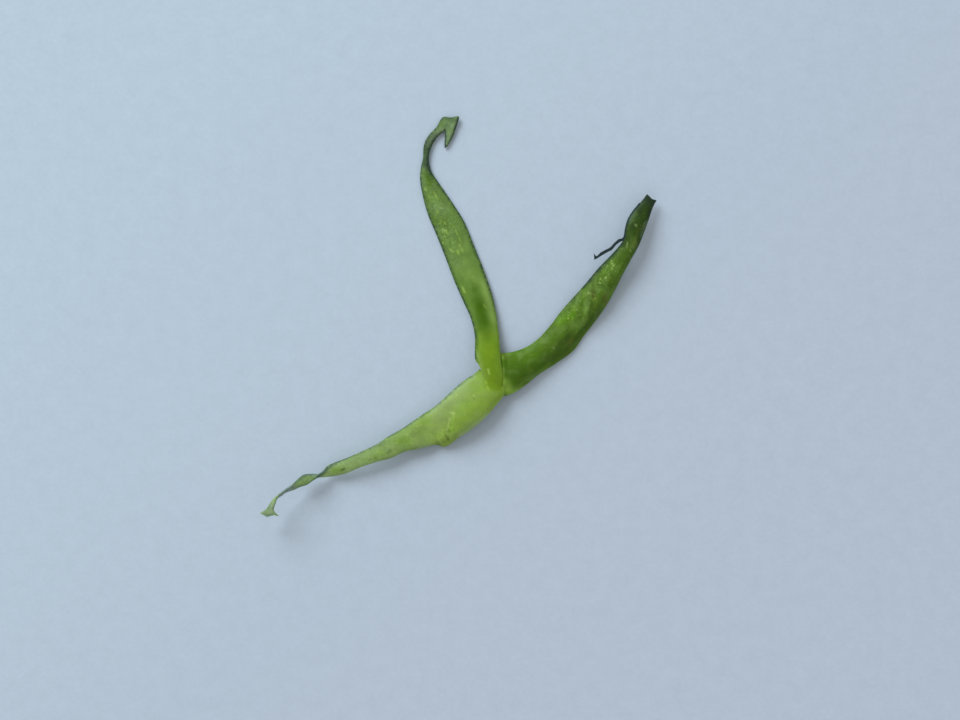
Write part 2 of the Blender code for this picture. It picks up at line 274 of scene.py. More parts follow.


# Palette
# painted light on the surface: lighter towards the upper left, dimmer towards the lower right
SURFACE_LIGHT = srgb(182, 200, 214)
SURFACE_DIM = srgb(178, 191, 206)
POUCH_PALE = srgb(144, 168, 100)
POUCH_GREEN = srgb(140, 172, 72)
# painted light on the pouch's margins
POUCH_RIM = srgb(162, 186, 144)
MOTHER_BLADE = srgb(136, 165, 92)
MOTHER_FAR = srgb(150, 178, 116)
MOTHER_LENS = srgb(120, 148, 94)
MOTHER_BRIGHT = srgb(130, 166, 54)
MOTHER_UNDERSIDE = srgb(144, 158, 160)
MOTHER_TIP = srgb(140, 162, 122)
MOTHER_MARGIN = srgb(76, 102, 82)
MOTHER_DUSK = srgb(92, 112, 106)
BUMP_GREEN = srgb(142, 168, 84)
PIT_GREEN = srgb(84, 112, 28)
# painted highlight, on the pouch's crease and on the seam beside the right daughter frond
PAINTED_HIGHLIGHT = srgb(180, 202, 120)
FORK_GREEN = srgb(116, 149, 34)
FORK_PALE = srgb(142, 170, 84)
FORK_OLIVE = srgb(140, 174, 74)
# painted glints at the fork
FORK_GLINT = srgb(160, 190, 72)
LEFT_GREEN = srgb(106, 140, 60)
LEFT_LIGHT = srgb(134, 165, 84)
LEFT_COOL = srgb(120, 149, 92)
LEFT_MIDDLE = srgb(108, 141, 70)
LEFT_PALE = srgb(112, 144, 74)
LEFT_DEEP = srgb(82, 116, 34)
LEFT_HOOK = srgb(114, 134, 102)
LEFT_TIP = srgb(136, 162, 122)
LEFT_NECK = srgb(80, 102, 76)
# dark edges; on the hook's right edge and folded corner, painted shade
LEFT_DUSK = srgb(50, 72, 58)
LEFT_MARGIN = srgb(50, 72, 54)
# painted glints on the left daughter frond
LEFT_GLINT = srgb(166, 196, 92)
STREAK_GREEN = srgb(66, 102, 8)
RIGHT_GREEN = srgb(88, 121, 38)
RIGHT_BASE = srgb(80, 116, 24)
# painted light on the arch's upper face
RIGHT_BRIGHT = srgb(106, 152, 34)
# paler green: for the random paler patches, and painted light on the arch's upper face
RIGHT_LIGHT = srgb(122, 154, 80)
# darker green, for the deep wash and the pits; on the flank turned from the light it is partly painted shade
RIGHT_DARK = srgb(56, 82, 24)
RIGHT_OLIVE = srgb(96, 106, 42)
RIGHT_TIP = srgb(50, 74, 26)
RIGHT_END = srgb(42, 58, 42)
RIGHT_MARGIN = srgb(40, 60, 52)
TIP_RIM = srgb(92, 114, 98)
SLIVER_BLUE = srgb(42, 58, 62)
# painted highlight of the glints
GLINT = srgb(172, 196, 124)


def value_at(profile, place):
    places, values = zip(*profile)
    return np.interp(place, places, values)


def unit(vectors):
    return vectors / np.linalg.norm(vectors, axis=-1, keepdims=True)


def smooth_step(x):
    """Rises from 0 to 1 as x does, as 3x² - 2x³."""
    x = np.clip(x, 0, 1)
    return x * x * (3 - 2 * x)


def smooth_stations(stations):
    """A Catmull-Rom curve through the stations, with the same number of sections from each to the next."""
    rows = np.array(stations)
    padded = np.vstack([2 * rows[0] - rows[1], rows, 2 * rows[-1] - rows[-2]])
    t = np.linspace(0, 1, SECTIONS, endpoint=False)[:, None]
    stretches = [
        0.5 * (2 * b + (c - a) * t + (2 * a - 5 * b + 4 * c - d) * t**2 + (3 * b - a - 3 * c + d) * t**3)
        for a, b, c, d in zip(padded, padded[1:], padded[2:], padded[3:])
    ]
    return np.vstack(stretches + [rows[-1:]])


def brush(points, strokes):
    """Brush strokes laid on in plan, each (start, end, width, strength).

    A stroke's mark is its strength times exp(-(d / width)²), where d is the distance in plan from the
    segment between its ends. Together the strokes cover 1 - (1 - mark)(1 - mark)... of a point.
    """
    bare = np.ones(points.shape[:-1])
    for start, end, width, strength in strokes:
        start, end = np.array(start), np.array(end)
        run = end - start
        share = np.clip((points[..., :2] - start) @ run / max(run @ run, TINY), 0, 1)
        distance = np.linalg.norm(points[..., :2] - start - share[..., None] * run, axis=-1)
        bare = bare * (1 - strength * np.exp(-((distance / width) ** 2)))
    return 1 - bare


def strap(stations, thickness, crown, crest=MIDDLE, tear=FLAT, relief=None):
    """A closed strap as a grid of points, along its sections and round each section, with its coordinates.

    Round a section the angle a runs once round: u = -cos a is the place across, from -1 at the right
    margin over the upper side to 1 at the left margin and back below. The middle layer is the chord between
    the margins, raised along the strap's normal by the crown, which falls off as a parabola on each side of
    its crest. A point stands half the thickness times the square root of 1 - u⁴ away from it, above or
    below. Relief raises the upper side. Past the last station but one, the tear pulls the points back along
    the strap. What would pass through the surface below is pressed flat. over_mm is the distance from the
    middle layer times u⁴, so that patterns also change over the rounded edge.
    """
    rows = smooth_stations(stations)
    station = np.linspace(0, len(stations) - 1, len(rows))[:, None]
    left, right = rows[:, None, :3], rows[:, None, 3:]
    angle = np.linspace(0, 2 * np.pi, 2 * ACROSS, endpoint=False)[None, :]
    u = -np.cos(angle)
    side = np.where(np.abs(np.sin(angle)) < TINY, 0, np.sign(np.sin(angle)))
    forward = unit(np.gradient((left + right) / 2, axis=0))
    normal = unit(np.cross(forward, left - right))
    half = value_at(thickness, station) / 2 * np.sqrt(1 - u**EDGE_ROUNDNESS)
    rise = value_at(crown, station) * (1 - ((u - crest) / (np.where(u > crest, 1, -1) - crest)) ** 2)
    middle = (left + right) / 2 + (left - right) / 2 * u[..., None] + normal * rise[..., None]
    near_end = smooth_step(station - station[-1] + 1)
    middle = middle - forward * (value_at(tear, u) * near_end)[..., None]
    if relief is not None:
        half = half + np.where(side > 0, relief(middle, station, u) * np.sqrt(1 - u**EDGE_ROUNDNESS), 0)
    points = middle + normal * (half * side)[..., None]
    points[..., 2] = np.where(side < 0, np.maximum(points[..., 2], 0), points[..., 2])
    width = np.linalg.norm(left - right, axis=-1)
    along = np.cumsum(np.linalg.norm(np.gradient((left + right) / 2, axis=0), axis=-1), axis=0)
    coordinates = {
        "station": station + 0 * u,
        "across": u + 0 * station,
        "across_mm": u * width / 2,
        "along_mm": along + 0 * u,
        "over_mm": half * side * u**EDGE_ROUNDNESS,
        "from_margin": (1 - np.abs(u)) * width / 2,
    }
    return points, coordinates


def ring_quads(rings, around, first=0):
    """Quads between neighbouring closed rings of points, which are numbered from first on."""
    here = first + np.arange(rings - 1)[:, None] * around
    k = np.arange(around)[None, :]
    after = (k + 1) % around
    quads = np.stack([here + k, here + around + k, here + around + after, here + after], axis=-1)
    return quads.reshape(-1, 4).tolist()


def strap_faces(sections, first):
    """Quads between neighbouring sections, and a strip of faces across each end."""
    ring = 2 * ACROSS
    k = np.arange(1, ACROSS - 1)
    strip = np.stack([k, k + 1, ring - k - 1, ring - k], axis=-1)
    corners = np.array([[0, 1, ring - 1], [ACROSS - 1, ACROSS, ACROSS + 1]])
    last = first + (sections - 1) * ring
    return (ring_quads(sections, ring, first) + (first + strip).tolist() + (first + corners).tolist()
            + (last + strip[:, ::-1]).tolist() + (last + corners[:, ::-1]).tolist())


def new_object(name, points, faces):
    """An object with the points, in metres, and the faces."""
    mesh = bpy.data.meshes.new(name)
    mesh.from_pydata(points.reshape(-1, 3).tolist(), [], faces)
    mesh.update()
    made = bpy.data.objects.new(name, mesh)
    bpy.context.scene.collection.objects.link(made)
    return made


def new_piece(name, straps, masks, material):
    """An object of closed straps, each (points, coordinates), with its masks by name and its material."""
    faces, first = [], 0
    for points, _ in straps:
        faces += strap_faces(len(points), first)
        first += points.shape[0] * points.shape[1]
    everything = np.concatenate([points.reshape(-1, 3) for points, _ in straps])
    piece = new_object(name, everything * MILLIMETRE, faces)
    mesh = piece.data
    mesh.shade_smooth()
    mesh.set_sharp_from_angle(angle=math.radians(SHARP_ANGLE))
    for mask, values in masks.items():
        attribute = mesh.attributes.new(mask, "FLOAT", "POINT")
        attribute.data.foreach_set("value", np.asarray(values, np.float32).ravel())
    strap_mm = mesh.attributes.new("strap_mm", "FLOAT_VECTOR", "POINT")
    pattern = np.concatenate([
        np.stack([c["across_mm"], c["along_mm"], c["over_mm"]], axis=-1).reshape(-1, 3) for _, c in straps
    ])
    strap_mm.data.foreach_set("vector", pattern.astype(np.float32).ravel())
    mesh.materials.append(material)
    return piece


# Node helpers

def new_node(tree, kind, **settings):
    made = tree.nodes.new(kind)
    for name, value in settings.items():
        setattr(made, name, value)
    return made


def plug(tree, value, socket):
    """Feeds a socket from another socket, or sets it to a number or a colour."""
    if isinstance(value, bpy.types.NodeSocket):
        tree.links.new(value, socket)
    elif isinstance(value, tuple) and len(value) == 3 and len(socket.default_value) == 4:
        socket.default_value = (*value, 1.0)
    else:
        socket.default_value = value


def math_node(tree, operation, *values):
    made = new_node(tree, "ShaderNodeMath", operation=operation)
    for socket, value in zip(made.inputs, values):
        plug(tree, value, socket)
    return made.outputs[0]


def mix_colour(tree, share, under, over):
    made = new_node(tree, "ShaderNodeMix", data_type="RGBA")
    colours = [s for s in made.inputs if s.type == "RGBA"]
    plug(tree, share, made.inputs[0])
    plug(tree, under, colours[0])
    plug(tree, over, colours[1])
    return next(s for s in made.outputs if s.type == "RGBA")


def remap(tree, value, low, high, to_low=0.0, to_high=1.0):
    made = new_node(tree, "ShaderNodeMapRange")
    made.interpolation_type = "SMOOTHSTEP"
    for socket, number in zip(made.inputs, (value, low, high, to_low, to_high)):
        plug(tree, number, socket)
    return made.outputs[0]


def mask_node(tree, name):
    return new_node(tree, "ShaderNodeAttribute", attribute_name=name).outputs["Fac"]


def new_group(name, inputs, outputs):
    """An empty node group with named sockets, each (name, kind)."""
    tree = bpy.data.node_groups.new(name, "ShaderNodeTree")
    for in_out, sockets in (("INPUT", inputs), ("OUTPUT", outputs)):
        for socket_name, kind in sockets:
            tree.interface.new_socket(socket_name, in_out=in_out, socket_type=kind)
    return tree, tree.nodes.new("NodeGroupInput"), tree.nodes.new("NodeGroupOutput")


def new_material(name):
    """A material, its node tree and its shader."""
    material = bpy.data.materials.new(name)
    material.use_nodes = True
    return material, material.node_tree, material.node_tree.nodes["Principled BSDF"]


def scaled_vector(tree, vector, scale):
    made = new_node(tree, "ShaderNodeVectorMath", operation="MULTIPLY")
    plug(tree, vector, made.inputs[0])
    plug(tree, scale, made.inputs[1])
    return made.outputs[0]


def scaled_colour(tree, colour, factor):
    made = new_node(tree, "ShaderNodeVectorMath", operation="SCALE")
    plug(tree, colour, made.inputs[0])
    plug(tree, factor, made.inputs["Scale"])
    return made.outputs[0]


def noise(tree, place, per_mm, detail):
    """Noise that repeats per_mm times a millimetre, a number or one for each direction."""
    if isinstance(per_mm, tuple):
        place = scaled_vector(tree, place, per_mm)
        per_mm = 1.0
    made = new_node(tree, "ShaderNodeTexNoise")
    plug(tree, place, made.inputs["Vector"])
    plug(tree, per_mm, made.inputs["Scale"])
    plug(tree, detail, made.inputs["Detail"])
    return made.outputs["Fac"]


def leaf_grain_group():
    """Uneven green: soft patches, and a fine grain that grows with Coarseness.

    Shade is a factor for the colour, Blotch marks the paler patches, and Dashes breaks up the margins.
    """
    tree, given, result = new_group(
        "leaf_grain", [("Strap", "NodeSocketVector"), ("Coarseness", "NodeSocketFloat")],
        [("Shade", "NodeSocketFloat"), ("Blotch", "NodeSocketFloat"), ("Dashes", "NodeSocketFloat")])
    place = given.outputs["Strap"]
    patches = noise(tree, place, PATCHES_PER_MM, detail=1.5)
    fine = noise(tree, place, GRAIN_PER_MM, detail=1.0)
    slow = math_node(tree, "MULTIPLY_ADD", patches, PATCH_CONTRAST, 1 - PATCH_CONTRAST / 2)
    quick = math_node(tree, "MULTIPLY", math_node(tree, "SUBTRACT", fine, 0.5), given.outputs["Coarseness"])
    plug(tree, math_node(tree, "ADD", slow, quick), result.inputs["Shade"])
    blotches = noise(tree, place, BLOTCHES_PER_MM, detail=1.5)
    plug(tree, remap(tree, blotches, *BLOTCH_EDGE), result.inputs["Blotch"])
    dashes = noise(tree, place, DASHES_PER_MM, detail=1.5)
    plug(tree, remap(tree, dashes, *DASH_EDGE, *DASH_STRENGTH), result.inputs["Dashes"])
    return tree


def leaf_lumps_group():
    """Blister-like lumps, each higher in its middle, and small glints and pits between them.

    Lift runs from about -0.5 in the valleys to 0.5 on the lumps. With it the material paints each lump
    lighter in its middle and darker towards the valleys, as painted light and shade. The glints are
    painted highlights. Dots is the share of the dots that are glints, and the share that are pits.
    """
    tree, given, result = new_group(
        "leaf_lumps",
        [("Strap", "NodeSocketVector"), ("Lumps per mm", "NodeSocketFloat"), ("Dots", "NodeSocketFloat")],
        [("Lift", "NodeSocketFloat"), ("Glint", "NodeSocketFloat"), ("Pit", "NodeSocketFloat")])
    place = given.outputs["Strap"]
    wander = new_node(tree, "ShaderNodeTexNoise")
    plug(tree, place, wander.inputs["Vector"])
    plug(tree, WANDER_PER_MM, wander.inputs["Scale"])
    bent = new_node(tree, "ShaderNodeVectorMath", operation="MULTIPLY_ADD")
    plug(tree, wander.outputs["Color"], bent.inputs[0])
    plug(tree, WANDER_MM, bent.inputs[1])
    plug(tree, scaled_vector(tree, place, LUMP_STRETCH), bent.inputs[2])

    lumps = new_node(tree, "ShaderNodeTexVoronoi", feature="SMOOTH_F1")
    plug(tree, bent.outputs[0], lumps.inputs["Vector"])
    plug(tree, given.outputs["Lumps per mm"], lumps.inputs["Scale"])
    plug(tree, LUMP_SOFTNESS, lumps.inputs["Smoothness"])
    height = remap(tree, lumps.outputs["Distance"], *LUMP_SHAPE, to_low=1.0, to_high=0.0)
    plug(tree, math_node(tree, "SUBTRACT", height, 0.5), result.inputs["Lift"])

    dots = new_node(tree, "ShaderNodeTexVoronoi")
    plug(tree, bent.outputs[0], dots.inputs["Vector"])
    plug(tree, DOTS_PER_MM, dots.inputs["Scale"])
    drawn = new_node(tree, "ShaderNodeSeparateColor")
    plug(tree, dots.outputs["Color"], drawn.inputs[0])
    for_glint, for_pit, for_strength = drawn.outputs
    crowd = remap(tree, noise(tree, place, CROWDS_PER_MM, detail=1.0), *CROWD_EDGE, *CROWDING)
    share = math_node(tree, "MULTIPLY", given.outputs["Dots"], crowd)
    dot = remap(tree, dots.outputs["Distance"], *DOT_SHAPE, to_low=1.0, to_high=0.0)
    bright = math_node(tree, "MULTIPLY", math_node(tree, "LESS_THAN", for_glint, share),
                       remap(tree, for_strength, 0.0, 1.0, *GLINT_STRENGTH))
    dim = math_node(tree, "MULTIPLY", math_node(tree, "LESS_THAN", for_pit, share), PIT_STRENGTH)
    plug(tree, math_node(tree, "MULTIPLY", dot, bright), result.inputs["Glint"])
    plug(tree, math_node(tree, "MULTIPLY", dot, dim), result.inputs["Pit"])
    return tree


def frond_material(name, groups, along, washes, blotch, margin, pit):
    """Leaf tissue: colours that change along the frond, washes of pigment and of painted light and shade
    laid over them, lumps and grain.

    along is a list of (station, colour) and washes a list of (mask, colour); blotch, margin and pit are
    the colours of the paler patches, of the margins and of the pits.
    """
    material, tree, shader = new_material(name)
    strap_mm = new_node(tree, "ShaderNodeAttribute", attribute_name="strap_mm").outputs["Vector"]
    lumpy = mask_node(tree, "lumpy")
    grain = new_node(tree, "ShaderNodeGroup", node_tree=groups["grain"])
    plug(tree, strap_mm, grain.inputs["Strap"])
    plug(tree, remap(tree, lumpy, 0.0, 1.0, *COARSENESS), grain.inputs["Coarseness"])
    lumps = new_node(tree, "ShaderNodeGroup", node_tree=groups["lumps"])
    plug(tree, strap_mm, lumps.inputs["Strap"])
    plug(tree, LUMPS_PER_MM, lumps.inputs["Lumps per mm"])
    plug(tree, DOT_SHARE, lumps.inputs["Dots"])

    ramp = new_node(tree, "ShaderNodeValToRGB")
    plug(tree, mask_node(tree, "along"), ramp.inputs["Fac"])
    elements = ramp.color_ramp.elements
    while len(elements) < len(along):
        # anywhere, as each is put at its station below
        elements.new(0.5)
    for element, (station, colour) in zip(elements, along):
        element.position = station / along[-1][0]
        element.color = (*colour, 1.0)
    share = math_node(tree, "MULTIPLY", grain.outputs["Blotch"], BLOTCH_STRENGTH)
    colour = mix_colour(tree, share, ramp.outputs["Color"], blotch)
    for mask, wash in washes:
        colour = mix_colour(tree, mask_node(tree, mask), colour, wash)
    lift = math_node(tree, "MULTIPLY", lumps.outputs["Lift"], lumpy)
    # painted light and shade: each lump lighter in its middle and darker towards the valleys
    shade = math_node(tree, "MULTIPLY_ADD", lift, LUMP_PAINTED_SHADING, grain.outputs["Shade"])
    colour = scaled_colour(tree, colour, shade)
    # the glints are painted highlights, the pits small dark dots
    for dots, dot_colour in [("Pit", pit), ("Glint", GLINT)]:
        share = math_node(tree, "MULTIPLY", lumps.outputs[dots], lumpy)
        colour = mix_colour(tree, share, colour, dot_colour)
    dashed = math_node(tree, "MULTIPLY", mask_node(tree, "margin"), grain.outputs["Dashes"])
    plug(tree, mix_colour(tree, dashed, colour, margin), shader.inputs["Base Color"])

    bump = new_node(tree, "ShaderNodeBump")
    bump.inputs["Strength"].default_value = BUMP_STRENGTH
    bump.inputs["Distance"].default_value = BUMP_MM * MILLIMETRE
    height = math_node(tree, "MULTIPLY_ADD", grain.outputs["Shade"], GRAIN_BUMP, lift)
    plug(tree, height, bump.inputs["Height"])
    plug(tree, bump.outputs["Normal"], shader.inputs["Normal"])
    plug(tree, remap(tree, grain.outputs["Shade"], *SHADE, *ROUGHNESS), shader.inputs["Roughness"])
    shader.inputs["Subsurface Weight"].default_value = 0.9
    shader.inputs["Subsurface Radius"].default_value = (0.6, 1.0, 0.2)
    shader.inputs["Subsurface Scale"].default_value = 0.06 * MILLIMETRE
    shader.inputs["IOR"].default_value = 1.4
    shader.inputs["Specular IOR Level"].default_value = 0.08
    return material


def frond_masks(straps, lumpy, margins, washes):
    """Each mask by name: the share along the frond, the margins, the lumpy places and the washes.

    margins are the strengths of the left and of the right margin's band, each as (station, strength), and
    the band's width.
    """
    points = np.concatenate([p.reshape(-1, 3) for p, _ in straps])
    station, across, from_margin = (
        np.concatenate([c[key].ravel() for _, c in straps]) for key in ("station", "across", "from_margin"))
    left, right, width = margins
    band = np.where(across > 0, value_at(left, station), value_at(right, station))
    return {
        "along": station / station.max(),
        "margin": band * np.exp(-((from_margin / width) ** 2)),
        "lumpy": brush(points, lumpy),
        **{name: brush(points, strokes) for name, strokes in washes.items()},
    }


def pouch_relief(middle, station, u):
    """The pouch's outer wall, full height up to its slanting crease, and the swelling past the crease."""
    (first, inner), (last, outer) = CREASE_START, CREASE_END
    crease = first + (last - first) * (u - inner) / (outer - inner)
    rise = smooth_step((crease - station) / CREASE_RISE)
    wall = POUCH_WALL * rise * smooth_step((u - inner) / WALL_FADE + 0.5)
    swelling = brush(middle, [((-0.38, -3.33), (-0.62, -3.42), 0.13, 0.05)])
    return wall + swelling


def mother_frond(groups):
    """The oldest frond: a thick pouch at the fork, a blade, two half twists and a torn tip."""
    straps = [strap(MOTHER_STATIONS, MOTHER_THICKNESS, MOTHER_CROWN, tear=MOTHER_TEAR, relief=pouch_relief)]
    washes = {
        "pale": [((0.14, -2.02), (-0.60, -2.75), 0.26, 0.95), ((-0.6, -3.05), (-1.3, -3.3), 0.2, 0.4)],
        "bright": [((-3.40, -4.22), (-3.25, -4.20), 0.10, 0.55), ((-1.60, -3.42), (-1.40, -3.40), 0.14, 0.5),
                   ((-2.30, -3.84), (-2.10, -3.74), 0.10, 0.4)],
        "warm": [((0.80, -1.60), (0.92, -1.86), 0.13, 1.0), ((0.92, -1.80), (1.22, -1.98), 0.17, 1.0),
                 ((0.90, -1.50), (1.10, -1.75), 0.20, 1.0)],
        "corner": [((1.27, -1.95), (1.22, -2.14), 0.08, 0.8)],
        "shade": [((-0.33, -3.28), (-0.72, -3.42), 0.12, 0.9)],
        "dusk": [((-3.30, -3.95), (-3.68, -4.22), 0.045, 0.8), ((-3.68, -4.22), (-3.83, -4.36), 0.06, 0.9),
                 ((-3.83, -4.35), (-4.16, -4.31), 0.05, 0.8), ((-4.20, -4.32), (-4.46, -4.50), 0.05, 0.8),
                 ((-5.46, -5.40), (-4.90, -5.47), 0.035, 0.5), ((-5.10, -5.08), (-5.20, -5.24), 0.035, 0.4),
                 ((-2.0, -3.28), (-3.2, -3.88), 0.035, 0.4), ((-2.05, -3.46), (-2.22, -3.54), 0.06, 0.2),
                 ((-0.06, -2.00), (-0.18, -2.10), 0.05, 0.2)],
        # pits: small dark spots; those beside the crease, along the bump's lower edge and below a glint on
        # the pouch are painted shade
        "pits": [((-0.62, -3.51), (-0.52, -3.50), 0.03, 0.3), ((-0.30, -3.05), (-0.22, -3.15), 0.035, 0.6),
                 ((-0.34, -3.26), (-0.27, -3.38), 0.03, 0.5), ((-0.20, -2.96), (-0.14, -3.10), 0.05, 0.3),
                 ((0.43, -2.24), (0.43, -2.24), 0.03, 0.5), ((-2.42, -3.93), (-2.42, -3.93), 0.03, 0.5),
                 ((-3.20, -4.21), (-3.13, -4.17), 0.03, 0.8), ((-1.86, -3.66), (-1.92, -3.72), 0.03, 0.4),
                 ((-4.00, -4.42), (-3.98, -4.42), 0.025, 0.6), ((-2.28, -3.86), (-2.24, -3.88), 0.025, 0.6),
                 ((-2.14, -3.52), (-2.14, -3.54), 0.02, 0.6)],
        # crease: painted highlights along the pouch's crease, and a few painted glints on the pouch
        "crease": [((-0.21, -2.62), (-0.12, -2.65), 0.035, 0.7),
                   ((-0.38, -2.90), (-0.42, -3.05), 0.06, 0.25), ((-0.23, -2.80), (-0.31, -3.10), 0.03, 0.6),
                   ((0.43, -2.16), (0.43, -2.16), 0.03, 0.7), ((-0.04, -2.15), (-0.04, -2.15), 0.025, 0.6),
                   ((0.76, -2.58), (0.76, -2.58), 0.025, 0.5)],
        # glints: painted highlights
        "glints": [((0.76, -1.79), (0.77, -1.83), 0.025, 0.9), ((0.80, -1.92), (0.83, -2.00), 0.025, 0.9)],
        # rim: painted light along the pouch's margins, also on its lower margin, which is turned from the
        # light
        "rim": [((0.44, -1.66), (0.0, -1.96), 0.05, 0.4), ((0.0, -1.96), (-0.74, -2.63), 0.05, 0.35),
                ((-0.8, -2.68), (-1.2, -2.92), 0.05, 0.2), ((0.06, -3.24), (0.80, -2.70), 0.07, 0.5),
                ((-0.78, -3.53), (-1.05, -3.58), 0.07, 0.45)],
    }
    masks = frond_masks(
        straps,
        lumpy=[((0.6, -2.1), (-1.0, -3.1), 0.6, 0.12), ((-0.15, -2.95), (-0.5, -3.35), 0.22, 0.6),
               ((-1.2, -3.3), (-3.4, -4.2), 0.4, 0.45), ((-3.9, -4.4), (-4.3, -4.5), 0.3, 0.6)],
        margins=([(0, 0.0), (10, 0.1), (18, 0.3), (21, 0.9), (25, 0.6), (27, 0.3), (29, 0.3)],
                 [(0, 0.9), (18, 0.9), (21, 0.2), (24, 0.5), (27, 0.3), (29, 0.3)], 0.055),
        washes=washes)
    along = [(0, POUCH_GREEN), (7, POUCH_GREEN), (11, MOTHER_BLADE), (15, MOTHER_FAR), (18, MOTHER_FAR),
             (20, MOTHER_LENS), (22.3, MOTHER_LENS), (23.5, MOTHER_UNDERSIDE), (25, MOTHER_UNDERSIDE),
             (26.2, MOTHER_TIP), (29, MOTHER_TIP)]
    material = frond_material(
        "mother_tissue", groups, along,
        [("pale", POUCH_PALE), ("bright", MOTHER_BRIGHT), ("warm", FORK_GREEN), ("corner", FORK_OLIVE),
         ("shade", BUMP_GREEN), ("dusk", MOTHER_DUSK), ("pits", PIT_GREEN), ("crease", PAINTED_HIGHLIGHT),
         ("glints", FORK_GLINT), ("rim", POUCH_RIM)],
        blotch=POUCH_PALE, margin=MOTHER_MARGIN, pit=PIT_GREEN)
    return new_piece("mother_frond_blade", straps, masks, material)


